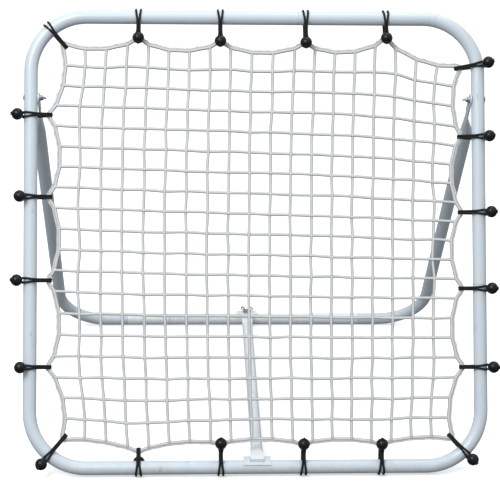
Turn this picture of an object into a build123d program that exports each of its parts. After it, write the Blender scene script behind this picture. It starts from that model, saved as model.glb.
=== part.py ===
from build123d import *
import os
from math import acos, asin, atan2, cos, degrees, hypot, radians, sin, sqrt
import numpy as np

# Pitch back rebounder: a square tube frame that leans back on a folding U-shaped leg, held open by
# a bottom strut, with a net hung inside it on twenty elastic ball ties.
# Millimetres. The front faces -Y, +X is to the right as seen from the front, +Z is up.

# ---- Driving dimensions -------------------------------------------------------------------------
LEAN = 23.0                  # how far the net frame leans back from upright, degrees
TUBE_R = 14.0                # frame and leg tube, outside radius
TUBE_WALL = 1.5
FRAME_HALF = 466.0           # half the centre-line width of the square frame
FRAME_TALL = 932.0           # centre-line height of the frame, along its own slope
BEND_R = 115.0               # centre-line radius of every bend
JOINT_X = 89.0               # where the top and bottom runs plug together
JOINT_S = 375.0              # where the side runs plug together
SPIGOT_LONG = 45.0           # swaged end inside the next section
SPIGOT_GAP = 0.15
SEAM_GAP = 0.4               # between two sections that plug together
COLLAR_LONG = 8.0            # solid root of a swaged end
COLLAR_BITE = 0.3
PIVOT_S = 762.6              # leg bolts, measured up the frame from the bottom run
DEPTH = 784.0                # bottom run to rear bar, centre to centre
REAR_BAR_Z = TUBE_R

ELASTIC_R = 2.0              # tie elastic
SNUG = 0.2                   # elastic to tube
FRAME_Z = TUBE_R + SNUG + 2 * ELASTIC_R   # the bottom run stands on the ties that pass under it

LEG_X = 457.7                # centre line of the round part of each leg arm
ARM_LAP = 50.0               # each arm runs straight this far past its bend
TAB_THICK = 3.0              # flattened leg end
TAB_HALF_WIDE = 11.5
TAB_GAP = 0.3                # flattened end to side tube
TAB_END = 40.0               # the flat stops here, below the bolt
ROUND_FROM = 115.0           # the arm is round from here on
BOLT_R = 3.0                 # leg bolts
SCREW_R = 4.0                # strut's wing screw
BOLT_FIT = 0.1               # bolt in its hole, all round
THREAD_GAP = 0.08
SEAT_GAP = 0.1               # between a washer and what it sits on
THROUGH = 60.0               # drills this long go right through
HEAD_R = 6.5                 # pivot bolt's low domed head
HEAD_TALL = 1.8
BOLT_SPARE = 8.6             # bolt past the leg's flat
NUT_TURN = 110.0             # how each wing nut came to rest, degrees
SCREW_TURN = -12.0
HUB_R = 6.0                  # wing nut's hub
HUB_TOP_R = 4.8
HUB_TALL = 6.2
NUT_WINGS = (13.0, 12.0, 1.4)     # reach and height of the ears, radius of their eyes
SCREW_WINGS = (16.0, 14.0, 2.2)
EAR_THICK = 3.0
WASHER_R = 7.0
SCREW_WASHER_R = 10.0
WASHER_THICK = 1.6

LOFT_STEPS = 4               # sections of a squashed end, less one
FLAT_LAP = 6.0               # a flat end runs this far into the growth to round
HOLLOW_FROM = 0.2            # share of the growth that is pressed solid

STRUT_R = 12.0
STRUT_WALL = 1.2
REAR_FLAT_SHORT = 16.0       # the rear flat ends this far short of the bar's middle
REAR_FLAT_UNDER = 3.5        # and lies this far under the tube's top
STRUT_FLAT_HALF = 13.5       # half width of both flattened ends
STRUT_FLAT = 3.0             # their thickness
REAR_ROUND_BACK = 88.0       # strut is round up to here, short of the bar
REAR_FLAT_BACK = 36.0        # and flat from here on
CLAMP_HOLE_R = 5.0           # hole for the wing screw in the bar's upper wall
CLAMP_HOLE_DEEP = 20.0
BAR_NUT_HALF = 6.5           # half width, and height, of the nut inside the bar
BAR_NUT_BORE_R = 4.2
BAR_NUT_DROP = 10.2          # its lower face under the bar's crest
STRUT_SIDE_SHIFT = 10.0      # the strut's rear end sits this far right of the middle
HINGE_X = 1.0
STRUT_FLAT_GAP = 0.8         # flat end over the bracket
HINGE_Y = -2.0               # slot in the crest of the bottom run
PLATE_THICK = 2.5
BRACKET_WIDE = 56.0
BRACKET_REAR = 16.0          # flange behind the tube's centre
BRACKET_WRAP = 48.0          # plate hugs the tube this far round its front, degrees
SLOT_WIDE = 28.6
SLOT_DEEP = 20.0
SLOT_LONG = 9.5
TONGUE_DEEP = 9.0
END_PLATE_WIDE = 52.0
END_PLATE_LONG = 27.0
END_PLATE_CORNER = 6.0
END_PLATE_THICK = 4.0

NET_CELLS = 19
CORD_HALF = 2.25             # half thickness of the net's cords
ROPE_WIDE = 6.0              # border rope laced outside the net's own edge cord
ROPE_GAP = 0.2
BORDER_PULL = 4.0            # tension of the border against one net cord
LOWER_BORDER_PULL = 9.0
TIE_CELLS = (3.5, 7.5, 11.5, 15.5)   # the ties hook on at these cells, from the upper left corner

BALL_R = 12.25
BALL_HOLE_R = 4.6
KNOT_R = 4.2
KNOT_LONG = 4.0
KNOT_IN = 6.0                # the knot starts this far inside the ball's outer pole
STRAND_NEAR = 2.1            # half the spread of a tie's two strands at the net
STRAND_FAR = 4.1             # and at the far side of the tube
NET_LOOP_R = 5.4             # elastic's bend round the net edge
SIDE_HOOK = 2.8              # how far inside the edge line that bend is centred
CORNER_HOOK = 7.0
BALL_HANG = 16.0             # a ball on the net's edge hangs this far below its root

# Net edge points that the ties hold, in the frame's plane: across, up the slope.
SIDE_EDGE_X = 427.5
LEFT_TIES = ((727, 26), (557, 20), (385, 26), (207, 17))     # height, how far out the ball sits
RIGHT_TIES = ((684, 19), (526, 22), (367, 22), (204, 24))
TOP_TIES = ((-244, 886), (-74, 880), (104, 878), (272, 888))
BOTTOM_TIES = ((-243, 35), (-74, 50), (96, 48), (257, 47))
CORNERS = {"top_left": (-399, 874), "top_right": (427, 831), "bottom_right": (404, 58),
           "bottom_left": (-397, 61)}
CORNER_AIMS = {**CORNERS, "top_right": (426, 821)}   # where each corner tie crosses the net's edge
CORNER_BALLS = {"top_left": 4, "top_right": 20, "bottom_right": 22, "bottom_left": 22}
BEHIND_BALL = -9             # the ball behind the bottom run sits this far towards the net

# ---- Derived places -----------------------------------------------------------------------------
lean = radians(LEAN)
TAB_MID_X = FRAME_HALF - TUBE_R - TAB_GAP - TAB_THICK / 2
PIVOT_Y = PIVOT_S * sin(lean)
PIVOT_Z = FRAME_Z + PIVOT_S * cos(lean)
LEG_LONG = hypot(DEPTH - PIVOT_Y, PIVOT_Z - REAR_BAR_Z)
# In the frame's plane: X across, Y up the slope, Z towards the front.
FRAME = Plane(origin=(0, 0, FRAME_Z), x_dir=(1, 0, 0), z_dir=(0, -cos(lean), sin(lean)))
# In the leg's plane: Y from the bolts down to the rear bar.
leg_down = ((DEPTH - PIVOT_Y) / LEG_LONG, (REAR_BAR_Z - PIVOT_Z) / LEG_LONG)
LEG = Plane(origin=(0, PIVOT_Y, PIVOT_Z), x_dir=(1, 0, 0), z_dir=(0, -leg_down[1], leg_down[0]))
CREST_Z = FRAME_Z + TUBE_R
BAR_HALF = LEG_X - BEND_R - ARM_LAP - SEAM_GAP    # half length of the rear bar between its seams
HINGE_Z = CREST_Z + PLATE_THICK / 2
BAR_CREST_Z = REAR_BAR_Z + TUBE_R
OPEN_GAP = 0.3               # the strut's end plate over the rear bar
BELT_R = TUBE_R + SNUG + ELASTIC_R
BALL_OUT = BELT_R + ELASTIC_R + SNUG + BALL_R


# ---- Tubes --------------------------------------------------------------------------------------
def tube(points, outer, inner, bend=None):
    """Round tube along a run of points, hollow, bent at its corners."""
    path = FilletPolyline(*points, radius=bend) if bend else Line(*points)
    start = Plane(path @ 0, z_dir=path % 0)
    return sweep(start * Circle(outer), path=path) - sweep(start * Circle(inner), path=path)


def collar(root, along):
    """Ring that joins a swaged end to the bore of its own tube."""
    bore = TUBE_R - TUBE_WALL
    ring = Circle(bore + COLLAR_BITE) - Circle(bore - SPIGOT_GAP - TUBE_WALL)
    return extrude(Plane(root, z_dir=along) * ring, COLLAR_LONG - SEAM_GAP)


def frame_section(corner, ends, spigots):
    """One quarter of the frame: corner point, its two plug ends, and which ends are swaged."""
    body = tube((ends[0], corner, ends[1]), TUBE_R, TUBE_R - TUBE_WALL, BEND_R)
    bore = TUBE_R - TUBE_WALL
    for end, swaged in zip(ends, spigots):
        if not swaged:
            continue
        run = Vector(*end) - Vector(*corner)
        along = run.normalized()
        root = Vector(*end) - along * COLLAR_LONG
        tip = Vector(*end) + along * SPIGOT_LONG
        body += tube((root, tip), bore - SPIGOT_GAP, bore - SPIGOT_GAP - TUBE_WALL)
        body += collar(root, along)
    return body


def bolt_hole(side):
    hole = Plane((side * FRAME_HALF, PIVOT_S, 0), z_dir=(1, 0, 0)) * Circle(BOLT_R + BOLT_FIT)
    return extrude(hole, THROUGH, both=True)


def tongue_slot():
    return Box(SLOT_WIDE, SLOT_LONG, SLOT_DEEP).locate(Location((HINGE_X, HINGE_Y, CREST_Z)))


def frame_sections():
    half, tall = FRAME_HALF, FRAME_TALL
    low = frame_section((-half, 0), ((-half, JOINT_S), (JOINT_X, 0)), (True, True))
    high = frame_section((-half, tall), ((-half, JOINT_S + SEAM_GAP), (JOINT_X, tall)), (False, True))
    low_right = frame_section((half, 0), ((half, JOINT_S), (JOINT_X + SEAM_GAP, 0)), (True, False))
    high_right = frame_section((half, tall), ((half, JOINT_S + SEAM_GAP), (JOINT_X + SEAM_GAP, tall)),
                               (False, False))
    return {
        "frame_lower_left": FRAME.location * low - tongue_slot(),
        "frame_upper_left": FRAME.location * (high - bolt_hole(-1)),
        "frame_lower_right": FRAME.location * low_right,
        "frame_upper_right": FRAME.location * (high_right - bolt_hole(1)),
    }


# ---- Leg ----------------------------------------------------------------------------------------
def oval(half_wide, half_thick):
    return Circle(half_wide) if half_wide - half_thick < 0.01 else Ellipse(half_wide, half_thick)


def eased(start, end, share):
    """Value between start and end that leaves and arrives level."""
    return start + (end - start) * share * share * (3 - 2 * share)


def leg_growth(first, wall):
    """Loft from the flat (share 0) to the round arm (share 1); wall is taken off for the inside."""
    faces = []
    for step in range(LOFT_STEPS + 1):
        share = first + (1 - first) * step / LOFT_STEPS
        centre = (eased(TAB_MID_X, LEG_X, share), TAB_END + (ROUND_FROM - TAB_END) * share, 0)
        plane = Plane(origin=centre, x_dir=(0, 0, 1), z_dir=(0, 1, 0))
        wide = eased(TAB_HALF_WIDE, TUBE_R, share) - wall
        faces.append(plane * oval(wide, eased(TAB_THICK / 2, TUBE_R, share) - wall))
    return loft(faces)


def leg_end():
    """Right-hand flattened end: tab with its bolt hole, and the stretch that grows round."""
    face = Plane((TAB_MID_X - TAB_THICK / 2, 0, 0), x_dir=(0, 1, 0), z_dir=(1, 0, 0))
    long = TAB_END + FLAT_LAP
    plan = Circle(TAB_HALF_WIDE) + Pos(long / 2, 0) * Rectangle(long, 2 * TAB_HALF_WIDE)
    tab = extrude(face * (plan - Circle(BOLT_R + BOLT_FIT)), TAB_THICK)
    return tab + leg_growth(0, 0) - leg_growth(HOLLOW_FROM, TUBE_WALL)


def leg_arm():
    """Right-hand arm with its flattened end and its bend towards the rear bar."""
    run = ((LEG_X, ROUND_FROM), (LEG_X, LEG_LONG), (BAR_HALF + SEAM_GAP, LEG_LONG))
    return tube(run, TUBE_R, TUBE_R - TUBE_WALL, BEND_R) + leg_end()


def rear_bar():
    """Straight bar on the ground, its two swaged ends plugged into the arms."""
    bar = tube(((-BAR_HALF, LEG_LONG), (BAR_HALF, LEG_LONG)), TUBE_R, TUBE_R - TUBE_WALL)
    bore = TUBE_R - TUBE_WALL
    for side in (-1, 1):
        root = Vector(side * (BAR_HALF - COLLAR_LONG), LEG_LONG)
        along = Vector(side, 0, 0)
        tip = root + along * (COLLAR_LONG + SPIGOT_LONG)
        bar += tube((root, tip), bore - SPIGOT_GAP, bore - SPIGOT_GAP - TUBE_WALL)
        bar += collar(root, along)
    hole = Cylinder(CLAMP_HOLE_R, 2 * CLAMP_HOLE_DEEP)
    return LEG.location * bar - hole.locate(Location((STRUT_SIDE_SHIFT, DEPTH, BAR_CREST_Z)))


def rear_bar_nut():
    """Hexagon nut fixed inside the rear bar, under the clamp hole."""
    nut = extrude(RegularPolygon(BAR_NUT_HALF, 6, major_radius=False), BAR_NUT_HALF)
    nut -= Cylinder(BAR_NUT_BORE_R, THROUGH)
    return nut.locate(Location((STRUT_SIDE_SHIFT, DEPTH, BAR_CREST_Z - BAR_NUT_DROP)))


# ---- Strut --------------------------------------------------------------------------------------
STRUT_START = (HINGE_X, HINGE_Y, HINGE_Z)
STRUT_RUN = DEPTH - HINGE_Y
STRUT_LIFT = PLATE_THICK / 2 + STRUT_FLAT_GAP + STRUT_FLAT / 2     # strut's middle over the hinge line
REAR_DROP = STRUT_R - STRUT_FLAT / 2 - REAR_FLAT_UNDER
REAR_LEVEL = STRUT_LIFT + REAR_DROP
PLATE_LEVEL = REAR_LEVEL + STRUT_FLAT / 2       # underside of the end plate
STRUT_DROP = HINGE_Z + PLATE_LEVEL - BAR_CREST_Z - OPEN_GAP
STRUT_TILT = degrees(asin(STRUT_DROP / STRUT_RUN))
STRUT_TURN = -degrees(asin((STRUT_SIDE_SHIFT - HINGE_X) / STRUT_RUN))
STRUT = Location(STRUT_START) * Location((0, 0, 0), (0, 0, STRUT_TURN)) \
    * Location((0, 0, 0), (-STRUT_TILT, 0, 0))
FRONT_FLAT = 26.0
FRONT_ROUND = 64.0
REAR_ROUND = STRUT_RUN - REAR_ROUND_BACK
REAR_FLAT = STRUT_RUN - REAR_FLAT_BACK


def strut_growth(flat_y, round_y, drop, first, wall):
    """Loft from a flat end to the round tube; drop is how far the flat sits above its middle."""
    faces = []
    for step in range(LOFT_STEPS + 1):
        share = first + (1 - first) * step / LOFT_STEPS
        centre = (0, flat_y + (round_y - flat_y) * share, STRUT_LIFT + eased(drop, 0, share))
        plane = Plane(origin=centre, x_dir=(1, 0, 0), z_dir=(0, 1, 0))
        wide = eased(STRUT_FLAT_HALF, STRUT_R, share) - wall
        faces.append(plane * oval(wide, eased(STRUT_FLAT / 2, STRUT_R, share) - wall))
    return loft(faces)


def strut_end(flat_y, round_y, drop):
    outside = strut_growth(flat_y, round_y, drop, 0, 0)
    return outside - strut_growth(flat_y, round_y, drop, HOLLOW_FROM, STRUT_WALL)


def strut():
    front = strut_end(FRONT_FLAT, FRONT_ROUND, 0)
    rear = strut_end(REAR_FLAT, REAR_ROUND, REAR_DROP)
    run = ((0, FRONT_ROUND, STRUT_LIFT), (0, REAR_ROUND, STRUT_LIFT))
    middle = tube(run, STRUT_R, STRUT_R - STRUT_WALL)
    flat_long = FRONT_FLAT + FLAT_LAP + STRUT_FLAT / 2
    flat = Box(2 * STRUT_FLAT_HALF, flat_long, STRUT_FLAT)
    flat = Pos(0, flat_long / 2 - STRUT_FLAT / 2, STRUT_LIFT) * flat
    deep = TONGUE_DEEP + STRUT_LIFT
    tongue = Pos(0, 0, STRUT_LIFT - deep / 2) * Box(2 * STRUT_FLAT_HALF, STRUT_FLAT, deep)
    rear_long = REAR_FLAT_BACK - REAR_FLAT_SHORT + FLAT_LAP
    rear_mid = REAR_FLAT - FLAT_LAP + rear_long / 2
    rear_flat = Pos(0, rear_mid, REAR_LEVEL) * Box(2 * STRUT_FLAT_HALF, rear_long, STRUT_FLAT)
    return STRUT * (middle + front + rear + flat + tongue + rear_flat)


def end_plate():
    """T-shaped clamp plate over the bar, its neck welded on the strut's rear flat."""
    plan = RectangleRounded(END_PLATE_WIDE, END_PLATE_LONG, END_PLATE_CORNER)
    plan += Pos(0, -REAR_FLAT_BACK / 2) * Rectangle(2 * STRUT_FLAT_HALF, REAR_FLAT_BACK)
    plate = extrude(plan - Circle(SCREW_R + BOLT_FIT), END_PLATE_THICK)
    return STRUT * (Pos(0, STRUT_RUN, PLATE_LEVEL) * plate)


def strut_bracket():
    """Formed plate welded over the crest of the bottom run, slotted for the strut's tongue."""
    inner, outer = TUBE_R, TUBE_R + PLATE_THICK
    front = radians(-BRACKET_WRAP)
    a0, a1 = (inner * sin(front), inner * cos(front)), (outer * sin(front), outer * cos(front))
    mid = front / 2
    profile = Polyline((BRACKET_REAR, inner), (BRACKET_REAR, outer), (0, outer))
    profile += ThreePointArc((0, outer), (outer * sin(mid), outer * cos(mid)), a1)
    profile += Line(a1, a0)
    profile += ThreePointArc(a0, (inner * sin(mid), inner * cos(mid)), (0, inner))
    profile += Line((0, inner), (BRACKET_REAR, inner))
    # The profile is drawn with its first axis towards the rear and its second up.
    side = Plane(origin=(HINGE_X, 0, FRAME_Z), x_dir=(0, 1, 0), z_dir=(1, 0, 0))
    plate = extrude(side * make_face(profile), BRACKET_WIDE / 2, both=True)
    return plate - tongue_slot()


# ---- Fasteners ----------------------------------------------------------------------------------
def wings(reach, top, eye_r):
    """Pair of pierced ears either side of an axis, drawn upwards from a seat at height 0."""
    root, foot, lobe = HUB_TOP_R - 1, HUB_R + 2, eye_r + 3
    ear = Polyline((root, 1), (foot, 2), (reach, top / 2), (reach - 1, top - 3), (reach - lobe + 1, top),
                   (HUB_TALL, top - 3), (root, HUB_TALL - 2), close=True)
    plate = extrude(Plane.XZ * make_face(ear), EAR_THICK / 2, both=True)
    eye = Plane.XZ * Pos(reach - lobe, top - lobe - 1) * Circle(eye_r)
    plate -= extrude(eye, EAR_THICK, both=True)
    return plate + mirror(plate, about=Plane.YZ)


def hub():
    return Cone(HUB_R, HUB_TOP_R, HUB_TALL, align=(Align.CENTER, Align.CENTER, Align.MIN))


def wing_nut():
    return hub() + wings(*NUT_WINGS) - Cylinder(BOLT_R + THREAD_GAP, THROUGH)


def wing_screw():
    """Wing screw: winged head upwards from the seat, shank down to the bar's crest."""
    down = END_PLATE_THICK + WASHER_THICK + 2 * SEAT_GAP
    shank = Cylinder(SCREW_R, down + 1, align=(Align.CENTER, Align.CENTER, Align.MIN))
    return hub() + wings(*SCREW_WINGS) + Pos(0, 0, -down) * shank


def washer(outside, bolt_r):
    ring = Circle(outside) - Circle(bolt_r + BOLT_FIT)
    return extrude(ring, WASHER_THICK)


def pivot_stack(side):
    """Bolt, washer and wing nut at one leg pivot, placed along the X axis through it."""
    # Local +Z points from outside the frame towards its middle, from the tube's centre line.
    seat = Plane(origin=(side * FRAME_HALF, PIVOT_Y, PIVOT_Z), x_dir=(0, 0, 1), z_dir=(-side, 0, 0))
    under_head = -TUBE_R - SNUG
    dome_r = (HEAD_R ** 2 + HEAD_TALL ** 2) / (2 * HEAD_TALL)
    head = Pos(0, 0, under_head + dome_r - HEAD_TALL) * Sphere(dome_r)
    head &= Pos(0, 0, under_head - HEAD_TALL / 2) * Cylinder(HEAD_R, HEAD_TALL)
    flat_in = TUBE_R + TAB_GAP + TAB_THICK
    long = flat_in + BOLT_SPARE - under_head + SNUG
    shank = Cylinder(BOLT_R, long, align=(Align.CENTER, Align.CENTER, Align.MIN))
    bolt = head + Pos(0, 0, under_head - SNUG) * shank
    ring = Pos(0, 0, flat_in + SEAT_GAP) * washer(WASHER_R, BOLT_R)
    nut_at = flat_in + 2 * SEAT_GAP + WASHER_THICK
    nut = Pos(0, 0, nut_at) * Rot(0, 0, NUT_TURN * side) * wing_nut()
    return seat.location * bolt, seat.location * ring, seat.location * nut


# ---- Net ----------------------------------------------------------------------------------------
def net_springs():
    """Knots and cords of the net: steps of half a cell, with mid knots on the border only."""
    last = 2 * NET_CELLS
    springs = []
    for i in range(0, last + 1, 2):
        for j in range(0, last + 1, 2):
            if i < last and 0 < j < last:
                springs.append(((i, j), (i + 2, j), 1.0))
            if j < last and 0 < i < last:
                springs.append(((i, j), (i, j + 2), 1.0))
    for k in range(last):
        for edge in (0, last):
            pull = LOWER_BORDER_PULL if edge == last else BORDER_PULL
            springs.append(((k, edge), (k + 1, edge), 2 * pull))
            springs.append(((edge, k), (edge, k + 1), 2 * BORDER_PULL))
    return springs


def tie_knots():
    """Where the ties hold the net's edge: knot (across, down) to its place in the frame's plane."""
    last = 2 * NET_CELLS
    held = {(0, 0): CORNERS["top_left"], (last, 0): CORNERS["top_right"],
            (last, last): CORNERS["bottom_right"], (0, last): CORNERS["bottom_left"]}
    for n, cell in enumerate(TIE_CELLS):
        k = round(2 * cell)
        held[(k, 0)] = TOP_TIES[n]
        held[(k, last)] = BOTTOM_TIES[n]
        held[(0, k)] = (-SIDE_EDGE_X, LEFT_TIES[n][0])
        held[(last, k)] = (SIDE_EDGE_X, RIGHT_TIES[n][0])
    return held


def relaxed_net():
    """Resting place of every knot: each cord pulls in proportion to its length."""
    springs, held = net_springs(), tie_knots()
    knots = sorted({knot for a, b, _ in springs for knot in (a, b)})
    place = {knot: row for row, knot in enumerate(knots)}
    pull = np.zeros((len(knots), len(knots)))
    for a, b, strength in springs:
        for one, other in ((a, b), (b, a)):
            pull[place[one], place[one]] += strength
            pull[place[one], place[other]] -= strength
    target = np.zeros((len(knots), 2))
    for knot, at in held.items():
        pull[place[knot]] = 0
        pull[place[knot], place[knot]] = 1
        target[place[knot]] = at
    solved = np.linalg.solve(pull, target)
    return {knot: tuple(solved[row]) for knot, row in place.items()}


def border_knots():
    """Knots round the net's edge, starting upper left and going clockwise."""
    last = 2 * NET_CELLS
    top = [(k, 0) for k in range(last)]
    right = [(last, k) for k in range(last)]
    bottom = [(last - k, last) for k in range(last)]
    left = [(0, last - k) for k in range(last)]
    return top + right + bottom + left


def grown(points, by):
    """Polygon (clockwise) with every side moved outwards by a distance."""
    out = []
    count = len(points)
    for k in range(count):
        before, here, after = (np.array(points[(k + d) % count]) for d in (-1, 0, 1))
        first, second = here - before, after - here
        first, second = first / np.hypot(*first), second / np.hypot(*second)
        n1, n2 = np.array((-first[1], first[0])), np.array((-second[1], second[0]))
        out.append(tuple(here + by * (n1 + n2) / (1 + n1 @ n2)))
    return out


def cell_knots(i, j):
    """Knots round one cell, clockwise, with the mid knots that lie on the border."""
    last = 2 * NET_CELLS
    knots = [(i, j)]
    if j == 0:
        knots.append((i + 1, j))
    knots.append((i + 2, j))
    if i + 2 == last:
        knots.append((i + 2, j + 1))
    knots.append((i + 2, j + 2))
    if j + 2 == last:
        knots.append((i + 1, j + 2))
    knots.append((i, j + 2))
    if i == 0:
        knots.append((i, j + 1))
    return knots


def closed(points):
    return Wire.make_polygon([Vector(*p, 0) for p in points], close=True)


def net_pieces():
    at = relaxed_net()
    edge = [at[knot] for knot in border_knots()]
    cells = range(0, 2 * NET_CELLS, 2)
    holes = [closed(grown([at[k] for k in cell_knots(i, j)], -CORD_HALF)) for i in cells for j in cells]
    mesh = extrude(Face(closed(grown(edge, CORD_HALF)), holes), CORD_HALF, both=True)
    inner = CORD_HALF + ROPE_GAP
    ring = Face(closed(grown(edge, inner + ROPE_WIDE)), [closed(grown(edge, inner))])
    rope = extrude(ring, ROPE_WIDE / 2, both=True)
    return FRAME.location * mesh, FRAME.location * rope


# ---- Ball ties ----------------------------------------------------------------------------------
def strand_slope(reach):
    """Unit normal of the strand that runs straight from the tube to the net's edge."""
    lean_off = acos((BELT_R - NET_LOOP_R) / reach)
    return cos(lean_off), sin(lean_off)


def belt(reach):
    """One elastic strand round the tube (at the origin) and the net's edge (reach away on +X)."""
    c, s = strand_slope(reach)
    big, small = (BELT_R * c, BELT_R * s), (reach + NET_LOOP_R * c, NET_LOOP_R * s)
    lower_small, lower_big = (small[0], -small[1]), (big[0], -big[1])
    path = Line(big, small)
    path += ThreePointArc(small, (reach + NET_LOOP_R, 0), lower_small)
    path += Line(lower_small, lower_big)
    path += ThreePointArc(lower_big, (-BELT_R, 0), big)
    start = Plane(big, z_dir=(small[0] - big[0], small[1] - big[1], 0))
    return sweep(start * Circle(ELASTIC_R), path=path)


def rod(start, end, radius):
    """Round bar between two points."""
    run = Vector(*end) - Vector(*start)
    return extrude(Plane(Vector(*start), z_dir=run) * Circle(radius), run.length)


def tie(reach, ball, root):
    """Elastic loop and its ball, in a plane across the tube: +X to the net, +Y to the front."""
    tilt = degrees(atan2(STRAND_FAR - STRAND_NEAR, reach + BELT_R))
    loop = Part()
    for side in (1, -1):
        turned = Rot(0, side * tilt, 0) * belt(reach)
        drop = reach * sin(radians(tilt))
        loop += Pos(0, 0, side * (STRAND_NEAR + drop)) * turned
    reach_out = Vector(*ball) - Vector(*root)
    away = reach_out.normalized()
    knot_at = Vector(*ball) + away * (BALL_R - KNOT_IN)
    for side in (1, -1):
        lift = Vector(0, 0, side * STRAND_NEAR)
        loop += rod(Vector(*root) + lift, knot_at + lift, ELASTIC_R)
    loop += rod((root[0], root[1], -STRAND_FAR), (root[0], root[1], STRAND_FAR), ELASTIC_R)
    loop += rod(knot_at, knot_at + away * KNOT_LONG, KNOT_R)
    bead = Pos(*ball) * Sphere(BALL_R)
    ends = [Vector(*ball) + away * 2 * BALL_R * end for end in (-1, 1)]
    bead -= rod(*ends, BALL_HOLE_R)
    return loop, bead


def placed_tie(tube_at, net_at, kind, hook, ball_out):
    """Ties a net edge point to a point on the tube's centre line, both in the frame's plane."""
    run = Vector(net_at[0] - tube_at[0], net_at[1] - tube_at[1])
    across = Plane(origin=(*tube_at, 0), x_dir=(run.X, run.Y, 0), z_dir=(run.Y, -run.X, 0))
    reach = run.length + hook
    if kind == "net":
        c, s = strand_slope(reach)
        root_x = run.length - BALL_HANG
        ball = (run.length, (BALL_OUT - c * run.length) / s)
        root = (root_x, (BELT_R - c * root_x) / s)
    else:
        side = -1 if kind == "behind" else 1
        ball = (-ball_out, side * sqrt(BALL_OUT ** 2 - ball_out ** 2))
        root = (ball[0] * BELT_R / BALL_OUT, ball[1] * BELT_R / BALL_OUT)
    loop, bead = tie(reach, ball, root)
    place = FRAME.location * across.location
    return place * loop, place * bead


def bend_point(net):
    """Point on the centre line of a frame bend that is nearest to a point by the net's corner."""
    centre = Vector((FRAME_HALF - BEND_R) * (1 if net[0] > 0 else -1),
                    FRAME_TALL - BEND_R if net[1] > FRAME_TALL / 2 else BEND_R)
    away = (Vector(*net) - centre).normalized()
    spot = centre + away * BEND_R
    return spot.X, spot.Y


def tie_groups():
    """Loops and balls of each side, as lists of pairs."""
    half, tall = FRAME_HALF, FRAME_TALL
    left = [placed_tie((-half, up), (-SIDE_EDGE_X, up), "outer", SIDE_HOOK, out) for up, out in LEFT_TIES]
    right = [placed_tie((half, up), (SIDE_EDGE_X, up), "outer", SIDE_HOOK, out) for up, out in RIGHT_TIES]
    top = [placed_tie((x, tall), (x, up), "net", SIDE_HOOK, 0) for x, up in TOP_TIES]
    kinds = ("behind", "net", "net", "net")
    bottom = [placed_tie((x, 0), (x, up), kind, SIDE_HOOK, BEHIND_BALL)
              for (x, up), kind in zip(BOTTOM_TIES, kinds)]
    corner = []
    for name, out in CORNER_BALLS.items():
        kind = "behind" if name == "top_left" else "outer"
        aim = CORNER_AIMS[name]
        corner.append(placed_tie(bend_point(aim), aim, kind, CORNER_HOOK, out))
    return {"left": left, "right": right, "top": top, "bottom": bottom, "corner": corner}


# ---- Assembly -----------------------------------------------------------------------------------
def all_nodes():
    nodes = frame_sections()
    nodes["strut_bracket"] = strut_bracket()
    arm = leg_arm()
    nodes["right_leg_arm"] = LEG.location * arm
    nodes["left_leg_arm"] = LEG.location * mirror(arm, about=Plane.YZ)
    nodes["rear_bar"] = rear_bar()
    nodes["rear_bar_nut"] = rear_bar_nut()
    nodes["strut"] = strut()
    nodes["strut_end_plate"] = end_plate()
    over = PLATE_LEVEL + END_PLATE_THICK + SEAT_GAP
    nodes["strut_washer"] = STRUT * (Pos(0, STRUT_RUN, over) * washer(SCREW_WASHER_R, SCREW_R))
    seat = over + WASHER_THICK + SEAT_GAP
    screw = Pos(0, STRUT_RUN, seat) * Rot(0, 0, SCREW_TURN) * wing_screw()
    nodes["strut_wing_screw"] = STRUT * screw
    for side, name in ((-1, "left"), (1, "right")):
        bolt, ring, nut = pivot_stack(side)
        nodes[name + "_pivot_bolt"] = bolt
        nodes[name + "_pivot_washer"] = ring
        nodes[name + "_wing_nut"] = nut
    nodes["net_mesh"], nodes["net_border_rope"] = net_pieces()
    for name, pairs in tie_groups().items():
        loops = [loop for loop, _ in pairs]
        if name in ("left", "right"):
            # The highest loop on each side is stretched aside as the leg folds.
            nodes[name + "_pivot_tie_loop"] = loops.pop(0)
        nodes[name + "_tie_loops"] = Compound(children=loops)
        nodes[name + "_tie_balls"] = Compound(children=[bead for _, bead in pairs])
    return nodes


def main():
    nodes = all_nodes()
    boxes = [shape.bounding_box() for shape in nodes.values()]
    low = [min(getattr(box.min, axis) for box in boxes) for axis in "XYZ"]
    high = [max(getattr(box.max, axis) for box in boxes) for axis in "XYZ"]
    shift = Location((-(low[0] + high[0]) / 2, -(low[1] + high[1]) / 2, -low[2]))
    os.makedirs("parts", exist_ok=True)
    for name, shape in nodes.items():
        export_step(shape.moved(shift), f"parts/{name}.step")
    print("origin moved by", [round(v, 3) for v in shift.position])
    print("overall size", [round(high[k] - low[k], 2) for k in range(3)])


main()
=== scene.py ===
from math import atan2, cos, pi, radians, sin, sqrt

import bpy
import numpy as np
from mathutils import Matrix, Vector


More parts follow.
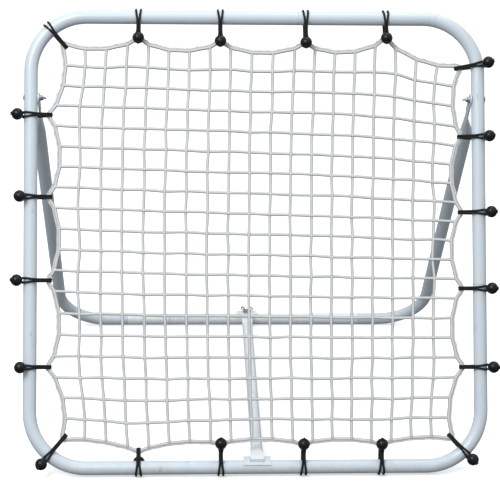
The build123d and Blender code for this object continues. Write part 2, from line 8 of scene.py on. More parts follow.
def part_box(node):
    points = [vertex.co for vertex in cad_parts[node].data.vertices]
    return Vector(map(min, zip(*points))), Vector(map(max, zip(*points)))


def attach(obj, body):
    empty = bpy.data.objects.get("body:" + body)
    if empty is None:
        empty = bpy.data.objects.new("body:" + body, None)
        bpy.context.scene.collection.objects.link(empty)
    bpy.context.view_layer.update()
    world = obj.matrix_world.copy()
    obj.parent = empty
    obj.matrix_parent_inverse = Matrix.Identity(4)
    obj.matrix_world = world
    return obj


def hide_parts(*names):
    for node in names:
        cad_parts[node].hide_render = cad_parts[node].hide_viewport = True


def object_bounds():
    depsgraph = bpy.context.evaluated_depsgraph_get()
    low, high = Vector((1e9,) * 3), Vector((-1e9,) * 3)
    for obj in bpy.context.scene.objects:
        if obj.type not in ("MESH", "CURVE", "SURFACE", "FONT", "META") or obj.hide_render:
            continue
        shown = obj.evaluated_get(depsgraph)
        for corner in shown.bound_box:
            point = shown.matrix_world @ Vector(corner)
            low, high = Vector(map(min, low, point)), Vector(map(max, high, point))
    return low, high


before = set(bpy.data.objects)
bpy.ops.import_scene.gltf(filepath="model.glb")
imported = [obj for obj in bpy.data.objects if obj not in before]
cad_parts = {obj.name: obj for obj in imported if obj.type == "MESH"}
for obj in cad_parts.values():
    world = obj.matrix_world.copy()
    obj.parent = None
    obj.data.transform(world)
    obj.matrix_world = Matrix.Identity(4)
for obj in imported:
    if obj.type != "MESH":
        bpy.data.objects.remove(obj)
cad_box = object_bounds()

# ---- The part's own dimensions, millimetres -----------------------------------------------------
MM = 0.001
LEAN = radians(23)           # the net frame leans back this far
TUBE_R = 14.0
FRAME_HALF = 466.0           # half the centre-line width of the frame
FRAME_TALL = 932.0
BEND_R = 115.0
DEPTH = 784.0                # bottom run to rear bar
SNUG = 0.2                   # elastic to tube
ELASTIC_R = 2.0
STRETCHED_R = 2.25           # elastic where it shows, plump between its bends

NET_CELLS = 19
CORD_R = 3.2
KNOT_SWELL = 0.14            # how much a cord thickens where two cords cross
KNOT_REACH = 3.2             # and over what length
CORD_BRAID = 4.0             # length of one braid
CORD_SPAN = 12               # points drawn per cell
EDGE_CORD = 1.05             # the net's edge cord against CORD_R
EDGE_SPAN = 6                # points drawn per half cell of the edge
WEAVE_LIFT = 0.7             # crossing cords pass this far over and under the net's middle
STRAY = 1.1                  # uneven cells: the most a knot strays from its even place
STRAY_SEED = 7
ROPE_R = 2.1                 # border rope
ROPE_OUT = 4.4               # border rope's middle outside the net's edge
ROPE_TWIST = 17.0            # length of one full turn of its strands
ROPE_STRAND = 0.54           # a strand's radius against the rope's
ROPE_BRAID = 2.5
ROPE_STEP = 2.0
LASH_R = 0.45                # thin cord that lashes the rope to the net's edge
LASH_TURNS = 8 * NET_CELLS
LASH_AROUND = (ROPE_OUT / 2 + 2.7, 2.9)     # half its turns' width and height
LASH_BRAID = 1.6
LASH_STEP = 1.8
BORDER_PULL = 4.0            # of the edge, against 1 for an inner cord
LOWER_BORDER_PULL = 9.0
TIE_CELLS = (3.5, 7.5, 11.5, 15.5)          # cells from the net's corner to each tie

BALL_R = 12.25
BALL_HOLE_R = 3.4
RIM_WIDE = 0.9               # rounded rim of the ball's hole
SEAM_TALL = 0.12             # parting ridge round the ball
SEAM_WIDE = 0.04             # radians
STRAND_NEAR = 2.1            # half the spread of a tie's two strands at the net
STRAND_FAR = 5.0             # and at the far side of the tube
TOGETHER_AT = 13.0           # the strands close up this far past the tube's middle
STRAND_NECK = 4.0            # and inside the ball
NECK_REACH = 7.0             # how near the ball they spread to that
LOOP_STEP = 1.6
LOOP_SMOOTHING = 3           # rounds of smoothing the loop's outline
ELASTIC_BRAID = 3.0
TAIL_R = 1.5                 # the strands inside the ball
TAIL_APART = 1.5
KNOT_CORD_R = 1.25           # the knot that stops them
KNOT_SIZE = 1.05
KNOT_OUT = 0.6
HOOK_R = 4.7                 # the elastic's bend round the net's edge
SIDE_HOOK = 0.5              # how far past the tied point that bend's middle lies
CORNER_HOOK = 5.0
BALL_HANG = 16.0             # top and bottom balls: from the net's edge to the loop's neck
NECK_IN = 2.0                # how deep in the ball the two sides of a loop meet
SIDE_EDGE_X = 427.5          # the net's held places on its left and right edges
LEFT_TIES = ((727, 26), (557, 20), (385, 26), (207, 17))     # height, how far out the ball sits
RIGHT_TIES = ((684, 19), (526, 22), (367, 22), (204, 24))
TOP_TIES = ((-244, 886), (-74, 880), (104, 878), (272, 888))
BOTTOM_TIES = ((-243, 35), (-74, 50), (96, 48), (257, 47))      # across, height
CORNERS = {"top_left": (-399, 874), "top_right": (427, 831), "bottom_right": (404, 58),
           "bottom_left": (-397, 61)}
CORNER_AIMS = {**CORNERS, "top_right": (427, 829)}              # where the corner ties hook
CORNER_BALLS = {"top_left": 4, "top_right": 20, "bottom_right": 22, "bottom_left": 22}
BEHIND_BALL = -9             # the bottom tie whose ball hangs behind the tube
BELT_R = TUBE_R + SNUG + ELASTIC_R              # the elastic's middle round the tube
BALL_OUT = BELT_R + ELASTIC_R + SNUG + BALL_R   # a ball's middle from the tube's

# ---- Places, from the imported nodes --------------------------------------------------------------
left_low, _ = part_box("frame_lower_left")
_, bar_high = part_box("rear_bar")
ORIGIN = Vector((left_low.x + (FRAME_HALF + TUBE_R) * MM, bar_high.y - (DEPTH + TUBE_R) * MM,
                 left_low.z + TUBE_R * MM))
ACROSS = Vector((1, 0, 0))
UP_SLOPE = Vector((0, sin(LEAN), cos(LEAN)))
FORWARD = Vector((0, -cos(LEAN), sin(LEAN)))
ORIGIN_MM = np.array(ORIGIN) / MM
AXES = np.array((ACROSS, UP_SLOPE, FORWARD))
LASH_FACING = FORWARD + UP_SLOPE * 0.3 + ACROSS * 0.2

# ---- Colours ------------------------------------------------------------------------------------
COAT_TINT = (0.65, 0.725, 0.79)
PAINTED_LIGHT_COAT_TINT = (0.86, 0.91, 0.95)          # rear bar and strut: the frame's paint, brighter with painted light
COAT_SHADE = 0.965                           # its cloudier patches
SCUFF_TINT = (0.46, 0.48, 0.50)
DUST_TINT = (0.42, 0.39, 0.34)
ZINC_TINTS = ((0.56, 0.58, 0.60), (0.36, 0.38, 0.39))
CORD_TINTS = ((0.82, 0.83, 0.825), (0.60, 0.61, 0.605))
ROPE_TINTS = ((0.95, 0.955, 0.95), (0.74, 0.745, 0.74))
ELASTIC_TINTS = ((0.004, 0.004, 0.004), (0.0015, 0.0015, 0.0015))
PLASTIC_TINTS = ((0.004, 0.004, 0.0045), (0.009, 0.009, 0.010))
FLOOR_TINTS = ((0.93, 0.93, 0.93), (0.95, 0.95, 0.95))
BRAID_STRANDS = 4                            # plaits once round a cord
SIDE_SHADE = 0.36                            # painted shade along a cord's sides, against its light colour
SOIL_SHADE = 0.6


# ---- Materials ----------------------------------------------------------------------------------
class Looks:
    """A material under construction."""

    def __init__(self, name):
        self.material = bpy.data.materials.new(name)
        self.material.use_nodes = True
        self.tree = self.material.node_tree
        self.shader = self.tree.nodes["Principled BSDF"]
        self.object = self.node("ShaderNodeTexCoord").outputs["Object"]

    def node(self, kind, **values):
        made = self.tree.nodes.new(kind)
        for name, value in values.items():
            setattr(made, name, value)
        return made

    def link(self, source, target):
        self.tree.links.new(source, target)

    def noise(self, scale, detail=3.0, stretch=(1, 1, 1)):
        placed = self.node("ShaderNodeMapping")
        placed.inputs["Scale"].default_value = stretch
        self.link(self.object, placed.inputs["Vector"])
        made = self.node("ShaderNodeTexNoise")
        made.inputs["Scale"].default_value = scale
        made.inputs["Detail"].default_value = detail
        self.link(placed.outputs["Vector"], made.inputs["Vector"])
        return made.outputs["Fac"]

    def ramp(self, source, low, high, start, end):
        """source from start to end becomes low to high."""
        made = self.node("ShaderNodeMapRange")
        limits = {"From Min": start, "From Max": end, "To Min": low, "To Max": high}
        for socket, value in limits.items():
            made.inputs[socket].default_value = value
        self.link(source, made.inputs["Value"])
        return made.outputs["Result"]

    def mix(self, share, first, second):
        """First where share is 0, second where it is 1. Each is a colour or a socket."""
        made = self.node("ShaderNodeMix", data_type="RGBA")
        self.link(share, made.inputs["Factor"])
        for socket, value in ((made.inputs["A"], first), (made.inputs["B"], second)):
            if isinstance(value, bpy.types.NodeSocket):
                self.link(value, socket)
            else:
                socket.default_value = (*value, 1)
        return made.outputs["Result"]

    def math(self, operation, first, second=None):
        made = self.node("ShaderNodeMath", operation=operation)
        for socket, value in zip(made.inputs, (first, second)):
            if isinstance(value, bpy.types.NodeSocket):
                self.link(value, socket)
            elif value is not None:
                socket.default_value = value
        return made.outputs["Value"]

    def bump(self, height, strength, distance):
        made = self.node("ShaderNodeBump")
        made.inputs["Strength"].default_value = strength
        made.inputs["Distance"].default_value = distance
        self.link(height, made.inputs["Height"])
        self.link(made.outputs["Normal"], self.shader.inputs["Normal"])

    def set(self, **values):
        for name, value in values.items():
            self.shader.inputs[name.replace("_", " ")].default_value = value


def powder_coat(name, tint):
    """Smooth powder coat: fine orange peel, uneven gloss, a few scuffs and dust low down."""
    look = Looks(name)
    cloud = look.ramp(look.noise(6), 0, 1, 0.35, 0.65)
    colour = look.mix(cloud, tint, tuple(c * COAT_SHADE for c in tint))
    streaks = look.noise(38, 6, stretch=(1, 1, 0.25))
    scuff = look.ramp(streaks, 0, 0.55, 0.66, 0.72)
    colour = look.mix(scuff, colour, SCUFF_TINT)
    height = look.node("ShaderNodeSeparateXYZ")
    look.link(look.object, height.inputs["Vector"])
    low = look.ramp(height.outputs["Z"], 0.35, 0, 0, 0.05)
    dust = look.math("MULTIPLY", low, look.ramp(look.noise(70, 5), 0, 1, 0.4, 0.7))
    colour = look.mix(dust, colour, DUST_TINT)
    look.link(colour, look.shader.inputs["Base Color"])
    gloss = look.ramp(look.noise(45, 4), 0.30, 0.42, 0.3, 0.7)
    roughness = look.math("ADD", gloss, look.math("MULTIPLY", scuff, 0.3))
    look.link(roughness, look.shader.inputs["Roughness"])
    look.bump(look.noise(900, 2), 0.22, 0.00012)
    look.set(Coat_Weight=0.25, Coat_Roughness=0.16)
    return look.material


def zinc_plate(name):
    """Bright zinc plating with a faint cloudy bloom and fine scratches."""
    look = Looks(name)
    bloom = look.ramp(look.noise(160, 5), 0, 1, 0.35, 0.7)
    look.link(look.mix(bloom, *ZINC_TINTS), look.shader.inputs["Base Color"])
    roughness = look.ramp(look.noise(260, 4), 0.28, 0.5, 0.3, 0.7)
    look.link(roughness, look.shader.inputs["Roughness"])
    look.bump(look.noise(1400, 3, stretch=(1, 1, 0.15)), 0.3, 0.00008)
    look.set(Metallic=1.0)
    return look.material


def braid(name, light, dark, painted_side_shade, depth, roughness, sheen):
    """Braided cord, with painted shade in its plaits' valleys and along its two sides.

    The UVs run along it by braids, and once round it.
    """
    look = Looks(name)
    uv = look.node("ShaderNodeUVMap", uv_map="cord")
    split = look.node("ShaderNodeSeparateXYZ")
    look.link(uv.outputs["UV"], split.inputs["Vector"])
    along = look.math("MULTIPLY", split.outputs["X"], 2 * pi)
    round_it = look.math("MULTIPLY", split.outputs["Y"], BRAID_STRANDS * 2 * pi)
    one = look.math("SINE", look.math("ADD", along, round_it))
    other = look.math("SINE", look.math("SUBTRACT", along, round_it))
    plait = look.math("MAXIMUM", one, other)
    fuzz = look.noise(1500, 3)
    height = look.math("ADD", plait, look.math("MULTIPLY", fuzz, 0.8))
    # painted shade: darker in the valleys between the plaits
    shade = look.ramp(plait, 0, 1, 0.1, 0.9)
    soil = look.ramp(look.noise(9, 4), 0.93, 1.0, 0.3, 0.7)
    colour = look.mix(shade, dark, light)
    # painted shade along the cord's two sides, away from its front and back
    once_round = look.math("MULTIPLY", split.outputs["Y"], 2 * pi)
    side = look.math("ABSOLUTE", look.math("SINE", once_round))
    painted_shade_share = look.ramp(side, 0, painted_side_shade, 0.45, 0.95)
    colour = look.mix(painted_shade_share, colour, tuple(c * SIDE_SHADE for c in light))
    colour = look.mix(soil, tuple(c * SOIL_SHADE for c in light), colour)
    look.link(colour, look.shader.inputs["Base Color"])
    uneven = look.ramp(fuzz, roughness - 0.08, roughness + 0.08, 0.3, 0.7)
    look.link(uneven, look.shader.inputs["Roughness"])
    look.bump(height, 0.6, depth)
    look.set(Sheen_Weight=sheen, Sheen_Roughness=0.5)
    return look.material


def moulded_plastic(name):
    """Black moulded plastic, slightly mottled, with fine handling marks."""
    look = Looks(name)
    mottle = look.ramp(look.noise(120, 4), 0, 1, 0.35, 0.7)
    look.link(look.mix(mottle, *PLASTIC_TINTS), look.shader.inputs["Base Color"])
    marks = look.ramp(look.noise(340, 6, stretch=(1, 0.2, 1)), 0, 0.25, 0.6, 0.75)
    gloss = look.ramp(look.noise(60, 3), 0.2, 0.34, 0.3, 0.7)
    look.link(look.math("ADD", gloss, marks), look.shader.inputs["Roughness"])
    look.bump(look.noise(700, 3), 0.15, 0.0001)
    look.set(Specular_IOR_Level=0.3)
    return look.material


# ---- Mesh helpers -------------------------------------------------------------------------------
class Pile:
    """Vertices, faces and cord UVs of several swept or turned shapes, gathered for one object."""

    def __init__(self):
        self.points, self.faces, self.uvs = [], [], []

    def grid(self, rings, steps, closed):
        """rings: arrays of points round each ring. steps: how far along each ring is, in UV."""
        base, count, sides = len(self.points), len(rings), len(rings[0])
        self.points.extend(p for ring in rings for p in ring)
        last = count if closed else count - 1
        for k in range(last):
            after = (k + 1) % count
            for j in range(sides):
                side = (j + 1) % sides
                self.faces.append((base + k * sides + j, base + k * sides + side,
                                   base + after * sides + side, base + after * sides + j))
                v0, v1 = j / sides, (j + 1) / sides
                self.uvs.append(((steps[k], v0), (steps[k], v1),
                                 (steps[k + 1], v1), (steps[k + 1], v0)))
        if not closed:
            for k, order in ((0, -1), (count - 1, 1)):
                ring = list(range(base + k * sides, base + (k + 1) * sides))[::order]
                self.faces.append(tuple(ring))
                self.uvs.append(tuple((steps[k], 0.5) for _ in ring))

    def sweep(self, path, radius, facing, pitch, sides=10, closed=False):
        """Round cord along a path in millimetres.

        facing: a direction the path never follows. pitch: length of one braid.
        """
        path = np.asarray(path, float)
        along = np.roll(path, -1, 0) - np.roll(path, 1, 0)
        if not closed:
            along[0], along[-1] = path[1] - path[0], path[-1] - path[-2]
        along /= np.linalg.norm(along, axis=1)[:, None]
        facing = np.broadcast_to(np.asarray(facing, float), path.shape)
        first = facing - along * (facing * along).sum(1)[:, None]
        first /= np.linalg.norm(first, axis=1)[:, None]
        second = np.cross(along, first)
        radii = np.broadcast_to(np.asarray(radius, float), (len(path),))
        angles = np.linspace(0, 2 * pi, sides, endpoint=False)[None, :, None]
        circle = np.cos(angles) * first[:, None] + np.sin(angles) * second[:, None]
        rings = path[:, None] + circle * radii[:, None, None]
        gaps = np.linalg.norm(np.roll(path, -1, 0) - path, axis=1)
        steps = np.concatenate(([0.0], np.cumsum(gaps))) / pitch
        self.grid(rings, steps, closed)

    def piece(self, name, look, slot, nodes):
        """The finished object, riding on the frame in place of its CAD nodes."""
        mesh = bpy.data.meshes.new(name)
        mesh.from_pydata([tuple(p * MM) for p in np.asarray(self.points)], [], self.faces)
        layer = mesh.uv_layers.new(name="cord")
        layer.data.foreach_set("uv", np.array([c for face in self.uvs for uv in face for c in uv]))
        mesh.polygons.foreach_set("use_smooth", [True] * len(mesh.polygons))
        mesh.materials.append(look)
        made = bpy.data.objects.new(name, mesh)
        bpy.context.scene.collection.objects.link(made)
        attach(made, "frame")
        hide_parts(*nodes)


def to_row(points):
    """Frame-plane millimetres (across, up, out) to row-frame millimetres."""
    return ORIGIN_MM + np.asarray(points, float) @ AXES


def spline(knots, per_span, closed=False):
    """Catmull-Rom curve through the knots."""
    knots = np.asarray(knots, float)
    if closed:
        padded = np.concatenate((knots[-1:], knots, knots[:2]))
    else:
        padded = np.concatenate((2 * knots[:1] - knots[1:2], knots, 2 * knots[-1:] - knots[-2:-1]))
    share = np.linspace(0, 1, per_span, endpoint=False)[:, None]
    out = []
    for k in range(len(padded) - 3):
        a, b, c, d = padded[k:k + 4]
        out.append(0.5 * (2 * b + (c - a) * share + (2 * a - 5 * b + 4 * c - d) * share ** 2
                          + (3 * b - a - 3 * c + d) * share ** 3))
    if not closed:
        out.append(knots[-1:])
    return np.concatenate(out)


# ---- Net ----------------------------------------------------------------------------------------
# A knot is (column, row) in half cells from the net's upper left corner.
LAST = 2 * NET_CELLS


def net_springs():
    """Cords between knots: steps of half a cell, with mid knots on the border only."""
    springs = []
    for i in range(0, LAST + 1, 2):
        for j in range(0, LAST + 1, 2):
            if i < LAST and 0 < j < LAST:
                springs.append(((i, j), (i + 2, j), 1.0))
            if j < LAST and 0 < i < LAST:
                springs.append(((i, j), (i, j + 2), 1.0))
    for k in range(LAST):
        for edge in (0, LAST):
            pull = LOWER_BORDER_PULL if edge == LAST else BORDER_PULL
            springs.append(((k, edge), (k + 1, edge), 2 * pull))
            springs.append(((edge, k), (edge, k + 1), 2 * BORDER_PULL))
    return springs


def tie_knots():
    """Where the ties hold the net's edge."""
    held = {(0, 0): CORNERS["top_left"], (LAST, 0): CORNERS["top_right"],
            (LAST, LAST): CORNERS["bottom_right"], (0, LAST): CORNERS["bottom_left"]}
    for n, cell in enumerate(TIE_CELLS):
        k = round(2 * cell)
        held[(k, 0)] = TOP_TIES[n]
        held[(k, LAST)] = BOTTOM_TIES[n]
        held[(0, k)] = (-SIDE_EDGE_X, LEFT_TIES[n][0])
        held[(LAST, k)] = (SIDE_EDGE_X, RIGHT_TIES[n][0])
    return held


def relaxed_net():
    """Resting place of every knot: each cord pulls in proportion to its length."""
    springs, held = net_springs(), tie_knots()
    knots = sorted({knot for a, b, _ in springs for knot in (a, b)})
    place = {knot: row for row, knot in enumerate(knots)}
    pull = np.zeros((len(knots), len(knots)))
    for a, b, strength in springs:
        for one, other in ((a, b), (b, a)):
            pull[place[one], place[one]] += strength
            pull[place[one], place[other]] -= strength
    target = np.zeros((len(knots), 2))
    for knot, at in held.items():
        pull[place[knot]] = 0
        pull[place[knot], place[knot]] = 1
        target[place[knot]] = at
    solved = np.linalg.solve(pull, target)
    return {knot: solved[row] for knot, row in place.items()}


def border_knots():
    """Knots round the net's edge, starting upper left and going clockwise."""
    top = [(k, 0) for k in range(LAST)]
    right = [(LAST, k) for k in range(LAST)]
    bottom = [(LAST - k, LAST) for k in range(LAST)]
    left = [(0, LAST - k) for k in range(LAST)]
    return top + right + bottom + left


def strayed(at, dice):
    """Inner knots nudged a little, so the cells are as uneven as hand-tensioned cord."""
    out = {}
    for knot, place in sorted(at.items()):
        inner = 0 < knot[0] < LAST and 0 < knot[1] < LAST
        nudge = dice.uniform(-STRAY, STRAY, 3) if inner else np.zeros(3)
        out[knot] = np.array((place[0], place[1], 0.0)) + nudge
    return out


def net_cord(pile, knots, lift):
    """One cord through a row of knots, thicker where it meets the cords across it."""
    knots = np.array(knots)
    line = spline(knots, CORD_SPAN)
    far = np.arange(len(line)) % CORD_SPAN
    near = np.minimum(far, CORD_SPAN - far) / CORD_SPAN
    cell = np.linalg.norm(knots[2] - knots[1])
    swell = 1 + KNOT_SWELL * np.exp(-(near * cell / KNOT_REACH) ** 2)
    turn = np.arange(len(line)) / CORD_SPAN * pi
    line[:, 2] += lift * WEAVE_LIFT * np.cos(turn)
    pile.sweep(to_row(line), CORD_R * swell, FORWARD, CORD_BRAID)


def net_mesh(at):
    pile = Pile()
    for k in range(2, LAST, 2):
        net_cord(pile, [at[(i, k)] for i in range(0, LAST + 1, 2)], 1)
        net_cord(pile, [at[(k, j)] for j in range(0, LAST + 1, 2)], -1)
    edge = spline([at[knot] for knot in border_knots()], EDGE_SPAN, closed=True)
    pile.sweep(to_row(edge), CORD_R * EDGE_CORD, FORWARD, CORD_BRAID, closed=True)
    return pile


def outwards(line):
    """Unit vectors out of a closed clockwise line, in the frame's plane."""
    along = np.roll(line, -1, 0) - np.roll(line, 1, 0)
    along /= np.linalg.norm(along, axis=1)[:, None]
    return np.stack((-along[:, 1], along[:, 0], np.zeros(len(line))), axis=1)


def even(line, step):
    """Closed line with points an even step apart, and its length."""
    loop = np.concatenate((line, line[:1]))
    far = np.concatenate(([0.0], np.cumsum(np.linalg.norm(np.diff(loop, axis=0), axis=1))))
    at = np.linspace(0, far[-1], round(far[-1] / step), endpoint=False)
    return np.stack([np.interp(at, far, loop[:, axis]) for axis in range(3)], axis=1), far[-1]


def wound(line, middle, radius, turns, phase):
    """Helix beside a closed line: its middle lies that far out, its radius is (wide, tall)."""
    angle = np.linspace(0, 2 * pi * turns, len(line), endpoint=False) + phase
    wide, tall = radius
    spot = middle + wide * np.cos(angle)
    up = np.array((0, 0, 1.0)) * (tall * np.sin(angle))[:, None]
    return line + outwards(line) * spot[:, None] + up


def border_rope(at):
    """Three-strand rope round the net's edge, and the thin cord that lashes the two together."""
    pile = Pile()
    edge = spline([at[knot] for knot in border_knots()], EDGE_SPAN, closed=True)
    line, long = even(edge + ROPE_OUT * outwards(edge), ROPE_STEP)
    strand = ROPE_R * ROPE_STRAND
    turns = round(long / ROPE_TWIST)
    for phase in (0, 2 * pi / 3, 4 * pi / 3):
        path = wound(line, 0.0, (ROPE_R - strand, ROPE_R - strand), turns, phase)
        pile.sweep(to_row(path), strand, FORWARD, ROPE_BRAID, sides=7, closed=True)
    lash, _ = even(edge, LASH_STEP)
    path = wound(lash, ROPE_OUT / 2, LASH_AROUND, LASH_TURNS, 0.0)
    pile.sweep(to_row(path), LASH_R, LASH_FACING, LASH_BRAID, sides=5, closed=True)
    return pile


# ---- Ball ties ----------------------------------------------------------------------------------
def hull(points):
    """Convex outline of 2-D points, anticlockwise."""
    points = sorted(map(tuple, points))
    halves = []
    for run in (points, points[::-1]):
        half = []
        for p in run:
            while len(half) > 1:
                (ax, ay), (bx, by) = half[-2], half[-1]
                if (bx - ax) * (p[1] - ay) - (by - ay) * (p[0] - ax) > 1e-9:
                    break
                half.pop()
            half.append(p)
        halves.append(half[:-1])
    return np.array(halves[0] + halves[1])


def ring(centre, radius, count=64):
    angles = np.linspace(0, 2 * pi, count, endpoint=False)
    return np.array(centre) + radius * np.stack((np.cos(angles), np.sin(angles)), axis=1)


def strand_slope(reach):
    """Cosine and sine of the angle at which the loop's straight sides leave the tube."""
    c = (BELT_R - HOOK_R) / reach
    return c, sqrt(1 - c * c)


class Tie:
    """One elastic loop and its ball, drawn across the tube.

    The first axis runs to the net, the second forwards. kind says where the ball sits: "net" on the
    loop's front side, "outer" on the tube's far side, "behind" likewise but at the back.
    """

    def __init__(self, tube_at, net_at, kind, hook, ball_out):
        run = Vector((net_at[0] - tube_at[0], net_at[1] - tube_at[1]))
        self.at = tube_at
        self.to_net = run.normalized()
        self.reach = run.length + hook
        if kind == "net":
            c, s = strand_slope(self.reach)
            self.ball = np.array((run.length, (BALL_OUT - c * run.length) / s))
            root_x = run.length - BALL_HANG
            root = np.array((root_x, (BELT_R - c * root_x) / s))
        else:
            side = -1 if kind == "behind" else 1
            self.ball = np.array((-ball_out, side * sqrt(BALL_OUT ** 2 - ball_out ** 2)))
            root = self.ball * BELT_R / BALL_OUT
        away = self.ball - root
        self.away = away / np.hypot(*away)
        self.neck = self.ball - self.away * (BALL_R - NECK_IN)

    def place(self, points):
        """Tie millimetres (to the net, forwards, along the tube) to row-frame millimetres."""
        points = np.asarray(points, float)
        x, y = self.to_net
        flat = np.stack((self.at[0] + points[:, 0] * x + points[:, 2] * y,
                         self.at[1] + points[:, 0] * y - points[:, 2] * x, points[:, 1]), axis=1)
        return to_row(flat)

    def direction(self, across, out, along):
        x, y = self.to_net
        flat = np.array((across * x + along * y, across * y - along * x, out))
        return flat @ AXES

    def spread(self, line):
        """How far each point of one strand stands from the tie's middle."""
        share = np.clip((line[:, 0] + BELT_R) / (TOGETHER_AT + BELT_R), 0, 1)
        wide = STRAND_FAR + (STRAND_NEAR - STRAND_FAR) * share * share * (3 - 2 * share)
        near = np.exp(-(np.hypot(*(line - self.neck).T) / NECK_REACH) ** 2)
        return wide * (1 - near) + STRAND_NECK * near

    def loop(self, pile):
        """Two strands side by side, round the tube, the net's edge and the ball's neck."""
        outline = hull([*ring((0, 0), BELT_R), *ring((self.reach, 0), HOOK_R), self.neck])
        flat = np.concatenate((outline, np.zeros((len(outline), 1))), axis=1)
        line, _ = even(flat, LOOP_STEP)
        for _ in range(LOOP_SMOOTHING):
            line = (np.roll(line, 1, 0) + 2 * line + np.roll(line, -1, 0)) / 4
        aside = self.spread(line[:, :2])
        for side in (1, -1):
            path = line.copy()
            path[:, 2] = side * aside
            facing = self.direction(0, 0, 1)
            pile.sweep(self.place(path), STRETCHED_R, facing, ELASTIC_BRAID, closed=True)
        self.tail(pile)

    def tail(self, pile):
        """The strands' way through the ball, and the knot that stops them."""
        facing = self.direction(0, 0, 1)
        start = self.ball - self.away * BALL_R * 0.8
        end = self.ball + self.away * (BALL_R + 1)
        for side in (1, -1):
            path = [(*(start + (end - start) * s), side * TAIL_APART) for s in np.linspace(0, 1, 6)]
            pile.sweep(self.place(path), TAIL_R, facing, ELASTIC_BRAID, sides=8)
        turn = np.linspace(0, 2 * pi, 60, endpoint=False)
        trefoil = (np.sin(turn) + 2 * np.sin(2 * turn), np.cos(turn) - 2 * np.cos(2 * turn),
                   -1.2 * np.sin(3 * turn))
        knot = np.stack(trefoil, axis=1) * KNOT_SIZE
        centre = self.ball + self.away * (BALL_R + KNOT_OUT)
        across = np.array((-self.away[1], self.away[0]))
        path = [(*(centre + across * k[0] + self.away * k[2]), k[1]) for k in knot]
        tilted = self.direction(self.away[0] * 0.9, self.away[1] * 0.9, 0.2)
        pile.sweep(self.place(path), KNOT_CORD_R, tilted, ELASTIC_BRAID, sides=8, closed=True)

    def bead(self, pile):
        """Ball turned about its own axis: rounded hole rims and a faint parting ridge."""
        rim = atan2(BALL_HOLE_R + RIM_WIDE, BALL_R)
        lip = [(BALL_HOLE_R, BALL_R * 0.86), (BALL_HOLE_R + 0.25, BALL_R * 0.93),
               (BALL_HOLE_R + 0.6, BALL_R * 0.95)]
        profile = [(BALL_HOLE_R, 0.0), *lip]
        for angle in np.linspace(rim, pi - rim, 34):
            ridge = SEAM_TALL * np.exp(-((angle - pi / 2) / SEAM_WIDE) ** 2)
            profile.append(((BALL_R + ridge) * sin(angle), (BALL_R + ridge) * cos(angle)))
        profile += [(radius, -high) for radius, high in lip[::-1]]
        angles = np.linspace(0, 2 * pi, 40, endpoint=False)
        across = np.array((-self.away[1], self.away[0]))
        rings = []
        for radius, high in profile:
            flat = self.ball + self.away * high
            spots = [(*(flat + across * radius * cos(a)), radius * sin(a)) for a in angles]
            rings.append(self.place(spots)[::-1])
        pile.grid(np.array(rings), list(range(len(rings) + 1)), closed=True)


def bend_point(name):
    """Where a corner tie rounds the frame's bend, between the bend's centre and its hook."""
    x_side = -1 if "left" in name else 1
    low = 0 if "bottom" in name else FRAME_TALL
    y_side = 1 if low == 0 else -1
    centre = Vector((x_side * (FRAME_HALF - BEND_R), low + y_side * BEND_R))
    away = Vector(CORNER_AIMS[name]) - centre
    return tuple(centre + away.normalized() * BEND_R)


def tie_groups():
    half, tall = FRAME_HALF, FRAME_TALL
    left = [Tie((-half, up), (-SIDE_EDGE_X, up), "outer", SIDE_HOOK, out) for up, out in LEFT_TIES]
    right = [Tie((half, up), (SIDE_EDGE_X, up), "outer", SIDE_HOOK, out) for up, out in RIGHT_TIES]
    top = [Tie((x, tall), (x, up), "net", SIDE_HOOK, 0) for x, up in TOP_TIES]
    kinds = ("behind", "net", "net", "net")
    bottom = [Tie((x, 0), (x, up), kind, SIDE_HOOK, BEHIND_BALL)
              for (x, up), kind in zip(BOTTOM_TIES, kinds)]
    corner = [Tie(bend_point(name), CORNER_AIMS[name], "behind" if name == "top_left" else "outer",
                  CORNER_HOOK, out) for name, out in CORNER_BALLS.items()]
    return {"left": left, "right": right, "top": top, "bottom": bottom, "corner": corner}


def place_ties(elastic, plastic):
    """The highest loop of each side is a piece of its own, as it is in the CAD."""
    for name, ties in tie_groups().items():
        loops = ties
        if name in ("left", "right"):
            loops = ties[1:]
            pile = Pile()
            ties[0].loop(pile)
            pile.piece(f"{name}_pivot_elastic", elastic, "elastic", [f"{name}_pivot_tie_loop"])
        pile = Pile()
        for tie in loops:
            tie.loop(pile)
        pile.piece(f"{name}_elastics", elastic, "elastic", [f"{name}_tie_loops"])
        pile = Pile()
        for tie in ties:
            tie.bead(pile)
        pile.piece(f"{name}_balls", plastic, "ball_plastic", [f"{name}_tie_balls"])


# ---- Stage --------------------------------------------------------------------------------------
CAMERA_AT = Vector((-0.1464, -3.0616, 1.4961))      # solved from the photo, with the angles
CAMERA_YAW, CAMERA_DOWN, CAMERA_ROLL = radians(2.696), radians(20.267), radians(0.923)
FOCAL_PX, WIDTH_PX = 1469.9, 500.0
SENSOR = 36.0
FLOOR_HALF = 25.0
FLOOR_DROP = 0.0005          # below the lowest point of the part


def camera():
    forward = Vector((sin(CAMERA_YAW) * cos(CAMERA_DOWN), cos(CAMERA_YAW) * cos(CAMERA_DOWN),
                      -sin(CAMERA_DOWN)))
    level = Vector((cos(CAMERA_YAW), -sin(CAMERA_YAW), 0))
    over = level.cross(forward)
    right = level * cos(CAMERA_ROLL) + over * sin(CAMERA_ROLL)
    top = over * cos(CAMERA_ROLL) - level * sin(CAMERA_ROLL)
    lens = bpy.data.cameras.new("camera")
    lens.sensor_width = SENSOR
    lens.lens = FOCAL_PX / WIDTH_PX * SENSOR
    lens.clip_end = 60
    made = bpy.data.objects.new("camera", lens)
    turn = Matrix((right, top, -forward)).transposed().to_4x4()
    made.matrix_world = Matrix.Translation(CAMERA_AT) @ turn
    bpy.context.scene.collection.objects.link(made)
    bpy.context.scene.camera = made


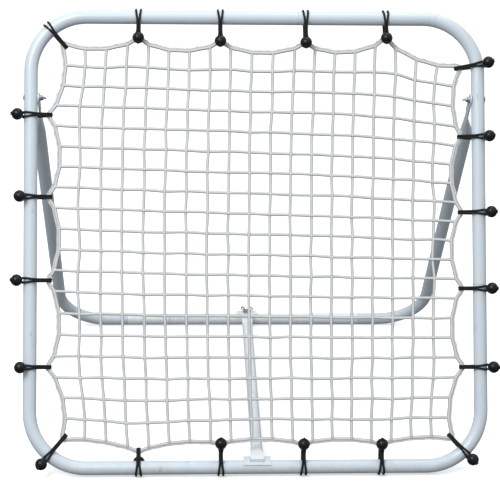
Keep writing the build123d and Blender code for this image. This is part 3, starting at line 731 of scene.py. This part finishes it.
def area_light(name, at, aim, size, watts):
    light = bpy.data.lights.new(name, "AREA")
    light.shape = "DISK"
    light.size = size
    light.energy = watts
    made = bpy.data.objects.new(name, light)
    made.location = at
    made.rotation_euler = (Vector(aim) - Vector(at)).to_track_quat("-Z", "Y").to_euler()
    bpy.context.scene.collection.objects.link(made)


def sky():
    """Bright overhead, dim towards and below the horizon, as under a studio's light tent."""
    world = bpy.data.worlds.new("studio")
    world.use_nodes = True
    tree = world.node_tree
    back = tree.nodes["Background"]
    where = tree.nodes.new("ShaderNodeTexCoord")
    split = tree.nodes.new("ShaderNodeSeparateXYZ")
    tree.links.new(where.outputs["Generated"], split.inputs["Vector"])
    fade = tree.nodes.new("ShaderNodeMapRange")
    limits = {"From Min": -0.45, "From Max": 0.6, "To Min": 0.16, "To Max": 0.7}
    for socket, value in limits.items():
        fade.inputs[socket].default_value = value
    tree.links.new(split.outputs["Z"], fade.inputs["Value"])
    tree.links.new(fade.outputs["Result"], back.inputs["Strength"])
    back.inputs["Color"].default_value = (0.95, 0.98, 1, 1)
    bpy.context.scene.world = world


def floor():
    """White ground that glows a little to match the photo, and lights nothing else."""
    look = Looks("studio_floor")
    look.link(look.mix(look.noise(3), *FLOOR_TINTS), look.shader.inputs["Base Color"])
    look.set(Roughness=0.9, Emission_Color=(1, 1, 1, 1), Emission_Strength=0.45)
    mesh = bpy.data.meshes.new("floor")
    far = FLOOR_HALF
    corners = [(-far, -far, 0), (far, -far, 0), (far, far, 0), (-far, far, 0)]
    mesh.from_pydata(corners, [], [(0, 1, 2, 3)])
    mesh.materials.append(look.material)
    made = bpy.data.objects.new("floor", mesh)
    made.location.z = cad_box[0][2] - FLOOR_DROP
    made.visible_diffuse = False
    made.visible_glossy = False
    bpy.context.scene.collection.objects.link(made)


def finish_node(node, look):
    """CAD node kept as it is, with its new material."""
    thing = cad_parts[node]
    thing.data.materials.clear()
    thing.data.materials.append(look)


def main():
    coat = powder_coat("powder_coat", COAT_TINT)
    painted_light_coat = powder_coat("painted_light_powder_coat", PAINTED_LIGHT_COAT_TINT)
    zinc = zinc_plate("zinc_plate")
    cord = braid("net_cord", *CORD_TINTS, painted_side_shade=0.9, depth=0.0004, roughness=0.85, sheen=0.1)
    rope = braid("border_rope", *ROPE_TINTS, painted_side_shade=0.6, depth=0.0003, roughness=0.8, sheen=0.1)
    elastic = braid("elastic_cover", *ELASTIC_TINTS, painted_side_shade=0.0, depth=0.0003, roughness=0.75,
                    sheen=0.0)
    plastic = moulded_plastic("ball_plastic")
    for node in ("frame_lower_left", "frame_upper_left", "frame_lower_right", "frame_upper_right",
                 "strut_bracket", "left_leg_arm", "right_leg_arm"):
        finish_node(node, coat)
    # the rear bar and strut get the frame's paint made brighter: painted light
    for node in ("rear_bar", "strut", "strut_end_plate"):
        finish_node(node, painted_light_coat)
    for node in ("rear_bar_nut", "strut_washer", "strut_wing_screw", "left_pivot_bolt",
                 "left_pivot_washer", "left_wing_nut", "right_pivot_bolt", "right_pivot_washer",
                 "right_wing_nut"):
        finish_node(node, zinc)
    at = strayed(relaxed_net(), np.random.default_rng(STRAY_SEED))
    net_mesh(at).piece("net_cords", cord, "net_cord", ["net_mesh"])
    border_rope(at).piece("border_rope", rope, "border_rope", ["net_border_rope"])
    place_ties(elastic, plastic)
    floor()
    sky()
    area_light("key", at=(-1.6, -2.6, 3.6), aim=(0, 0, 0.4), size=2.2, watts=106)
    area_light("top", at=(0.6, 0.6, 3.4), aim=(0, 0.1, 0.3), size=2.5, watts=24)
    camera()
    bpy.context.scene.view_settings.view_transform = "Standard"


main()
